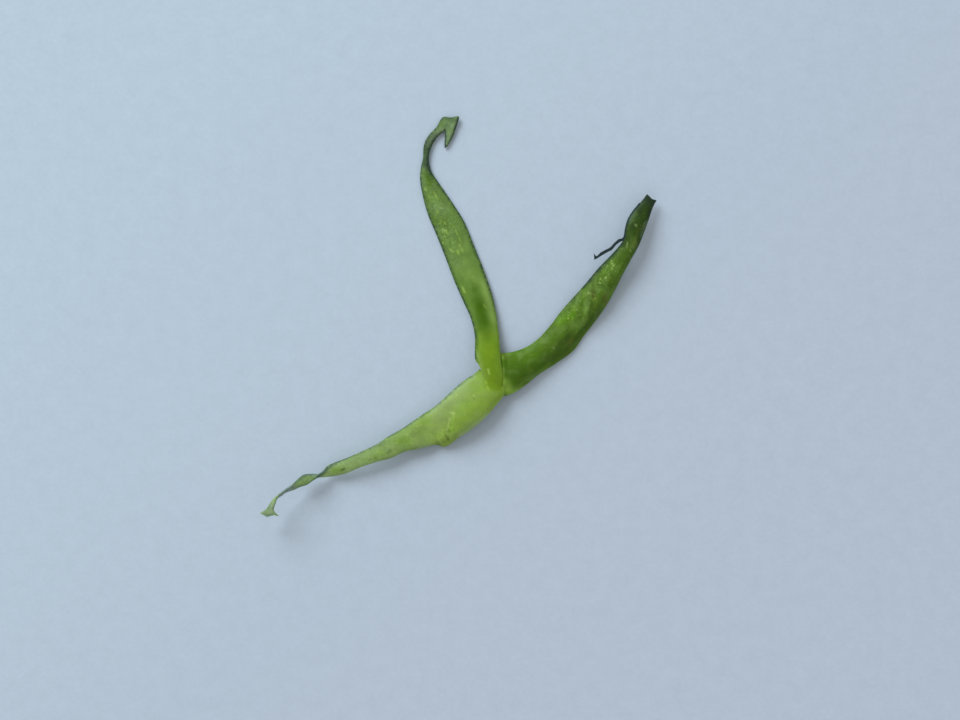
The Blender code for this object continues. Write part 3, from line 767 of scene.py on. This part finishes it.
def left_daughter_frond(groups):
    """The frond that comes out of the pouch, with a drawn-in neck and a hooked tip."""
    straps = [strap(LEFT_STATIONS, LEFT_THICKNESS, LEFT_CROWN)]
    washes = {
        "light": [((0.70, 0.95), (0.98, -0.10), 0.15, 1.0), ((-0.97, 4.05), (-0.96, 3.95), 0.05, 0.7),
                  ((1.00, -0.10), (1.06, -0.70), 0.045, 0.5), ((0.20, 1.45), (0.45, 1.15), 0.16, 0.4)],
        "cool": [((-1.00, 4.00), (-0.95, 3.50), 0.09, 0.9), ((-0.72, 3.02), (-0.40, 2.95), 0.12, 0.8),
                 ((-0.30, 2.45), (-0.18, 2.30), 0.10, 0.4), ((-0.30, 1.75), (-0.02, 1.45), 0.12, 0.4),
                 ((-0.60, 2.45), (-0.50, 2.20), 0.05, 0.9)],
        "deep": [((-0.86, 3.92), (-0.79, 3.66), 0.09, 0.8), ((-0.36, 5.42), (-0.13, 5.42), 0.08, 0.5),
                 ((-0.27, 5.26), (-0.24, 5.18), 0.06, 0.4), ((-0.68, 2.75), (-0.60, 2.60), 0.06, 0.6),
                 ((-0.42, 2.60), (-0.28, 2.42), 0.10, 0.3), ((-0.76, 5.16), (-0.66, 4.98), 0.06, 0.2),
                 ((-0.50, 5.35), (-0.38, 5.25), 0.10, 0.5)],
        "warm": [((0.85, -1.9), (0.82, -0.9), 0.45, 1.0), ((0.8, -0.9), (0.80, -0.55), 0.30, 0.8)],
        "streak": [((0.46, 0.72), (0.60, 0.25), 0.17, 0.65), ((0.62, 0.25), (0.73, -0.15), 0.17, 0.9),
                   ((0.72, -0.15), (0.78, -0.60), 0.15, 0.4), ((0.54, 0.20), (0.60, -0.35), 0.10, 0.5),
                   ((0.40, 0.42), (0.38, 0.30), 0.08, 0.35), ((0.51, -0.42), (0.50, -0.82), 0.06, 0.35)],
        # edge: dark edges of the neck and the hook; along the hook's right edge and its folded corner they
        # are painted shade
        "edge": [((0.02, 5.46), (-0.06, 5.20), 0.045, 0.9), ((0.0, 5.43), (-0.18, 5.37), 0.07, 0.45),
                 ((-0.06, 5.20), (-0.16, 4.93), 0.035, 0.8), ((-0.37, 5.05), (-0.37, 4.66), 0.03, 0.8),
                 ((-0.62, 4.92), (-0.80, 4.66), 0.045, 0.5), ((-0.82, 4.62), (-0.82, 4.20), 0.055, 0.9),
                 ((-0.84, 4.15), (-0.72, 3.90), 0.05, 0.8), ((-0.93, 4.72), (-0.90, 4.45), 0.03, 0.6),
                 ((-0.30, 5.30), (-0.40, 5.12), 0.04, 0.15)],
        "joined": [((0.60, -1.34), (0.76, -1.74), 0.09, 0.5), ((0.50, -1.02), (0.58, -1.30), 0.08, 0.6)],
        # seam: a painted highlight along the right margin, where it lies beside the right daughter frond's
        # welt
        "seam": [((1.20, -1.40), (1.22, -1.64), 0.022, 0.2)],
        # glints: painted highlights
        "glints": [((0.82, -1.44), (0.85, -1.56), 0.028, 0.9), ((0.12, 0.80), (0.17, 0.68), 0.025, 0.8),
                   ((-0.92, 3.53), (-0.90, 3.49), 0.03, 0.7), ((0.70, 0.33), (0.78, 0.24), 0.03, 0.3),
                   ((-0.60, 2.92), (-0.56, 2.86), 0.025, 0.7), ((-0.37, 2.60), (-0.36, 2.56), 0.025, 0.8),
                   ((-0.02, 1.80), (-0.01, 1.76), 0.025, 0.8), ((0.10, 1.86), (0.12, 1.80), 0.025, 0.6),
                   ((-0.34, 2.36), (-0.30, 2.30), 0.025, 0.7), ((0.03, 2.16), (0.06, 2.08), 0.025, 0.6),
                   ((-0.43, 2.05), (-0.41, 2.02), 0.025, 0.7), ((-0.08, 2.40), (-0.02, 2.26), 0.02, 0.6),
                   ((-0.45, 2.68), (-0.50, 2.56), 0.02, 0.6), ((0.02, 2.02), (0.05, 1.94), 0.02, 0.6),
                   ((-0.68, 3.44), (-0.60, 3.30), 0.02, 0.6), ((-0.24, 1.86), (-0.18, 1.80), 0.02, 0.6)],
    }
    masks = frond_masks(
        straps,
        lumpy=[((-0.75, 3.9), (-0.45, 2.5), 0.5, 0.8), ((-0.35, 2.4), (-0.15, 1.8), 0.35, 0.6),
               ((0.0, 1.5), (0.3, 0.9), 0.4, 0.15), ((-0.9, 4.6), (-0.3, 5.2), 0.3, 0.5)],
        margins=([(0, 0.0), (3, 0.0), (4, 1.0), (14, 1.0), (15, 0.6), (17, 0.6), (18, 1.0), (28, 1.0)],
                 [(0, 0.0), (6, 0.0), (7.2, 0.5), (8, 1.0), (28, 1.0)], 0.07),
        washes=washes)
    along = [(0, FORK_GREEN), (6, LEFT_GREEN), (8.5, LEFT_GREEN), (10, LEFT_MIDDLE), (12, LEFT_PALE),
             (13.5, LEFT_PALE), (15, LEFT_NECK), (17, LEFT_NECK),
             (18, LEFT_HOOK), (19.5, LEFT_HOOK), (21, LEFT_TIP), (28, LEFT_TIP)]
    material = frond_material(
        "left_tissue", groups, along,
        [("light", LEFT_LIGHT), ("cool", LEFT_COOL), ("deep", LEFT_DEEP), ("warm", FORK_GREEN),
         ("streak", STREAK_GREEN), ("edge", LEFT_DUSK), ("joined", FORK_PALE), ("seam", PAINTED_HIGHLIGHT),
         ("glints", LEFT_GLINT)],
        blotch=LEFT_LIGHT, margin=LEFT_MARGIN, pit=LEFT_DEEP)
    return new_piece("left_daughter_frond_blade", straps, masks, material)


def right_frond_relief(middle, *_):
    """Low lumps and shallow pits along the arch, and the welt at the fork, beside the left daughter frond."""
    lumps = brush(middle, [
        ((3.20, 0.15), (3.30, 0.50), 0.08, 0.018), ((3.48, 0.10), (3.58, 0.38), 0.08, 0.018),
        ((3.75, 0.95), (3.95, 1.15), 0.08, 0.015), ((2.30, -0.75), (2.70, -0.50), 0.12, 0.012),
        ((2.80, -0.12), (3.00, 0.00), 0.12, 0.02), ((4.20, 1.25), (4.35, 1.60), 0.07, 0.01)])
    pits = brush(middle, [
        ((3.06, -0.10), (3.14, 0.12), 0.04, 0.012), ((3.38, 0.02), (3.44, 0.45), 0.045, 0.015),
        ((3.62, 0.45), (3.80, 0.70), 0.05, 0.012), ((2.85, -0.75), (3.05, -0.60), 0.07, 0.015),
        ((4.30, 1.75), (4.60, 2.00), 0.05, 0.02)])
    welt = brush(middle, [
        ((1.18, -1.02), (1.20, -1.14), 0.09, 0.08), ((1.225, -1.26), (1.26, -1.85), 0.085, 0.07)])
    return lumps - pits + welt


def right_daughter_frond(groups):
    """The arched frond from under the fork, with the sliver torn from the left margin of its tip."""
    straps = [
        strap(RIGHT_STATIONS, RIGHT_THICKNESS, RIGHT_CROWN, crest=RIGHT_CREST, tear=RIGHT_TEAR,
              relief=right_frond_relief),
        strap(SLIVER_STATIONS, SLIVER_THICKNESS, FLAT),
    ]
    washes = {
        # bright and lit: painted light on the arch's upper face, which faces the light; the strokes near the
        # base are bright spots
        "bright": [((2.82, -0.14), (2.98, -0.02), 0.12, 0.8), ((1.85, -1.18), (2.10, -1.05), 0.14, 0.25),
                   ((4.10, 1.10), (4.30, 1.45), 0.10, 0.1), ((2.45, -1.30), (2.52, -1.26), 0.04, 0.8),
                   ((2.22, -1.50), (2.42, -1.38), 0.06, 0.5), ((3.12, 0.05), (3.28, 0.25), 0.10, 0.75)],
        "lit": [((3.24, 0.20), (3.28, 0.52), 0.06, 0.6), ((3.50, 0.15), (3.56, 0.38), 0.06, 0.5),
                ((3.76, 0.82), (3.84, 0.70), 0.05, 0.7), ((2.32, -0.66), (2.46, -0.58), 0.09, 0.22),
                ((2.86, 0.17), (3.08, 0.40), 0.05, 0.6), ((4.05, 1.25), (4.16, 1.38), 0.06, 0.12),
                ((3.30, 0.62), (3.38, 0.72), 0.05, 0.5)],
        # deep: on the lower right flank, turned from the light, partly painted shade; near the tip and in
        # small spots the tissue's darker green
        "deep": [((2.50, -1.15), (3.10, -0.72), 0.17, 0.6), ((3.20, -0.60), (3.95, 0.18), 0.10, 0.6),
                 ((1.50, -1.62), (2.30, -1.25), 0.22, 0.4), ((2.72, -0.88), (3.00, -0.55), 0.12, 0.7),
                 ((4.84, 2.36), (5.03, 2.92), 0.12, 0.85), ((4.64, 1.98), (4.76, 2.52), 0.09, 0.9),
                 ((3.95, 0.84), (4.02, 0.78), 0.05, 0.6), ((3.64, -0.02), (3.66, 0.02), 0.04, 0.6),
                 ((3.60, 0.10), (3.66, 0.40), 0.04, 0.4)],
        "end": [((5.00, 3.34), (5.42, 3.16), 0.14, 1.0), ((5.32, 3.05), (5.24, 2.80), 0.08, 0.7),
                ((5.08, 3.20), (4.98, 2.90), 0.09, 0.6), ((5.08, 2.20), (4.90, 1.80), 0.035, 0.5),
                ((3.46, 0.86), (3.64, 1.04), 0.07, 0.35), ((3.52, 0.92), (4.38, 1.86), 0.06, 0.65),
                ((4.80, 2.48), (4.94, 2.78), 0.09, 0.35), ((4.72, 1.50), (4.30, 0.70), 0.03, 0.4)],
        "olive": [((1.26, -1.10), (1.36, -1.14), 0.07, 0.35), ((4.0, 0.55), (4.07, 0.35), 0.07, 0.7),
                  ((3.68, 0.70), (3.74, 0.50), 0.06, 0.7), ((4.96, 2.40), (4.80, 1.95), 0.05, 0.3),
                  ((3.02, -0.75), (3.12, -0.62), 0.07, 0.5)],
        "joined": [((1.17, -1.03), (1.21, -1.12), 0.05, 0.5), ((1.23, -1.44), (1.25, -1.80), 0.03, 0.2),
                   ((1.26, -1.96), (1.52, -2.10), 0.13, 0.95), ((1.30, -1.78), (1.36, -1.95), 0.10, 0.6),
                   ((1.52, -2.06), (1.72, -1.94), 0.08, 0.4)],
        "rim": [((5.00, 2.22), (5.15, 2.60), 0.04, 0.5), ((4.66, 2.58), (4.76, 2.80), 0.045, 0.6),
                ((4.76, 2.80), (5.00, 3.15), 0.05, 0.5)],
        # glints: painted highlights
        "glints": [((4.26, 1.40), (4.26, 1.40), 0.025, 0.8), ((4.22, 1.33), (4.22, 1.33), 0.025, 0.8),
                   ((4.04, 1.07), (4.04, 1.07), 0.025, 0.8), ((3.58, 0.67), (3.58, 0.67), 0.02, 0.6),
                   ((2.62, -0.87), (2.62, -0.87), 0.025, 0.4), ((4.64, 2.06), (4.62, 1.90), 0.02, 0.3),
                   ((4.86, 2.52), (4.88, 2.50), 0.025, 0.5), ((3.50, -0.62), (3.50, -0.62), 0.02, 0.4)],
    }
    masks = frond_masks(
        straps,
        lumpy=[((2.0, -0.9), (2.9, -0.3), 0.5, 0.25), ((3.1, 0.1), (3.9, 1.0), 0.45, 0.8),
               ((3.9, 1.0), (4.5, 1.9), 0.6, 0.8), ((4.7, 2.3), (5.2, 3.1), 0.3, 0.2)],
        margins=([(0, 0.0), (5, 0.1), (8, 0.4), (9.5, 1.0), (19, 1.0)],
                 [(0, 0.0), (11, 0.0), (13, 0.4), (16, 0.4), (19, 0.8)], 0.05),
        washes=washes)
    # the sliver has one colour from end to end, no dark margins and no lumps
    masks["sliver"] = np.concatenate([np.full(p.shape[:2], i).ravel() for i, (p, _) in enumerate(straps)])
    station = np.concatenate([c["station"].ravel() for _, c in straps])
    masks["along"] = np.where(masks["sliver"] > 0, 1, station / (len(RIGHT_STATIONS) - 1))
    for mask in ("margin", "lumpy"):
        masks[mask] = masks[mask] * (1 - masks["sliver"])
    along = [(0, RIGHT_BASE), (4, RIGHT_BASE), (8, RIGHT_GREEN), (12, RIGHT_GREEN), (15, RIGHT_TIP),
             (19, RIGHT_TIP)]
    material = frond_material(
        "right_tissue", groups, along,
        [("bright", RIGHT_BRIGHT), ("lit", RIGHT_LIGHT), ("deep", RIGHT_DARK), ("olive", RIGHT_OLIVE),
         ("end", RIGHT_END), ("joined", FORK_OLIVE), ("rim", TIP_RIM), ("glints", GLINT),
         ("sliver", SLIVER_BLUE)],
        blotch=RIGHT_LIGHT, margin=RIGHT_MARGIN, pit=RIGHT_DARK)
    return new_piece("right_daughter_frond_blade", straps, masks, material)


def surface_below():
    """The pale surface that the plant lies on: a disc whose radius and angle are the two parameters."""
    radii = np.array(SURFACE_RADII)[:, None]
    angle = np.linspace(0, 2 * np.pi, SURFACE_SIDES, endpoint=False)[None, :]
    points = np.stack([radii * np.cos(angle), radii * np.sin(angle), 0 * radii * angle], axis=-1)
    centre = [list(range(SURFACE_SIDES))]
    floor = new_object("pale_surface", points, ring_quads(len(radii), SURFACE_SIDES) + centre)
    material, tree, shader = new_material("matte_pale_surface")
    place = new_node(tree, "ShaderNodeTexCoord").outputs["Object"]
    place = scaled_vector(tree, place, (1 / MILLIMETRE,) * 3)
    apart = new_node(tree, "ShaderNodeSeparateXYZ")
    plug(tree, place, apart.inputs[0])
    # painted light: lighter towards the upper left, dimmer towards the lower right
    slant = math_node(tree, "SUBTRACT", apart.outputs[0], apart.outputs[1])
    painted_falloff = mix_colour(tree, remap(tree, slant, *SURFACE_TURN), SURFACE_LIGHT, SURFACE_DIM)
    clouds = noise(tree, place, SURFACE_CLOUDS_PER_MM, detail=4.0)
    specks = noise(tree, place, SURFACE_SPECKS_PER_MM, detail=3.0)
    mottle = math_node(tree, "ADD", clouds, specks)
    shade = math_node(tree, "MULTIPLY_ADD", mottle, SURFACE_MOTTLE, 1 - SURFACE_MOTTLE)
    plug(tree, scaled_colour(tree, painted_falloff, shade), shader.inputs["Base Color"])
    shader.inputs["Roughness"].default_value = 0.9
    shader.inputs["Specular IOR Level"].default_value = 0.1
    floor.data.materials.append(material)


def studio():
    """A soft key light from the upper left, and an even fill from all round."""
    world = bpy.data.worlds.new("even_fill")
    bpy.context.scene.world = world
    world.use_nodes = True
    background = world.node_tree.nodes["Background"]
    background.inputs["Color"].default_value = FILL_COLOUR
    background.inputs["Strength"].default_value = FILL
    light = bpy.data.lights.new("soft_key", "AREA")
    light.shape = "DISK"
    light.size = 2 * KEY_DISTANCE * math.tan(math.radians(KEY_SPREAD / 2))
    light.energy = KEY_POWER
    light.color = KEY_COLOUR
    key = bpy.data.objects.new("soft_key", light)
    elevation = math.radians(KEY_ELEVATION)
    across, up = KEY_FROM
    towards = np.array([across * math.cos(elevation), up * math.cos(elevation), math.sin(elevation)])
    key.location = towards * KEY_DISTANCE
    key.rotation_mode = "QUATERNION"
    key.rotation_quaternion = key.location.to_track_quat("Z", "Y")
    bpy.context.scene.collection.objects.link(key)
    bpy.context.scene.view_settings.view_transform = "Standard"


def camera_above():
    data = bpy.data.cameras.new("camera_above")
    data.lens = LENS
    data.sensor_width = SENSOR
    data.clip_start = CLIP_START
    data.clip_end = CLIP_END
    camera = bpy.data.objects.new("camera_above", data)
    camera.location = (VIEW_CENTRE[0] * MILLIMETRE, VIEW_CENTRE[1] * MILLIMETRE,
                       VIEW_WIDTH * LENS / SENSOR * MILLIMETRE)
    bpy.context.scene.collection.objects.link(camera)
    bpy.context.scene.camera = camera


def main():
    camera_above()
    studio()
    surface_below()
    groups = {"grain": leaf_grain_group(), "lumps": leaf_lumps_group()}
    for name, make in [("mother_frond", mother_frond), ("left_daughter_frond", left_daughter_frond),
                       ("right_daughter_frond", right_daughter_frond)]:
        piece = make(groups)
        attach(piece, "root")
        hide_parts(name)


main()
